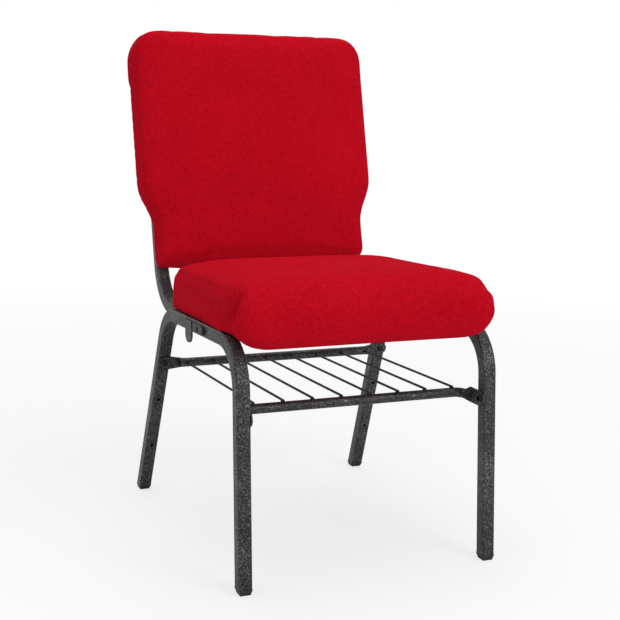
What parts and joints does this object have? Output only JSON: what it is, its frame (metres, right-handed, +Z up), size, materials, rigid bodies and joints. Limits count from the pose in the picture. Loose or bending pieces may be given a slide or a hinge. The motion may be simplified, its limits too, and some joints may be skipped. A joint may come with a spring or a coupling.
{
  "type": "conference chair",
  "caption": "Stacking conference chair: square steel tube frame, padded seat and back, wire book rack under the seat and fittings that link chairs in a row.",
  "frame": {"origin": "On the floor under the middle of the chair's bounding box.", "axes": "+Z up, the sitter faces -Y. Left and right in names are as seen from the front, so left is -X."},
  "size_m": [0.4634, 0.6568, 0.8539],
  "materials": {
    "frame_paint": "dark grey powder coat with fine silver veins",
    "wire_paint": "black powder coat",
    "black_plastic": "satin",
    "red_fabric": "woven upholstery with a fine speckle",
    "plywood": "unfinished plywood",
    "black_steel": "black oxide",
    "zinc": "bright zinc plate"
  },
  "bodies": {
    "root": {"left_seat_frame": "frame_paint", "right_seat_frame": "frame_paint", "left_upright": "frame_paint", "right_upright": "frame_paint", "front_cross_member": "frame_paint", "rear_cross_member": "frame_paint", "rack_front_bar": "frame_paint", "rack_rear_bar": "frame_paint", "ganging_tongue": "frame_paint", "ganging_loop": "frame_paint", "rack_wire_1": "wire_paint", "rack_wire_2": "wire_paint", "rack_wire_3": "wire_paint", "rack_wire_4": "wire_paint", "rack_wire_5": "wire_paint", "rack_wire_6": "wire_paint", "rack_wire_7": "wire_paint", "rack_wire_8": "wire_paint", "front_left_foot": "black_plastic", "front_right_foot": "black_plastic", "rear_left_foot": "black_plastic", "rear_right_foot": "black_plastic", "left_bumper": "black_plastic", "right_bumper": "black_plastic", "seat_cushion": "red_fabric", "back_cushion": "red_fabric", "back_rear_panel": "red_fabric", "back_hood": "red_fabric", "seat_board": "plywood", "back_board": "plywood", "seat_screws": "zinc", "back_screws": "zinc", "rack_inserts": "zinc", "bumper_screws": "black_steel", "rack_bolts": "black_steel"}
  },
  "joints": []
}
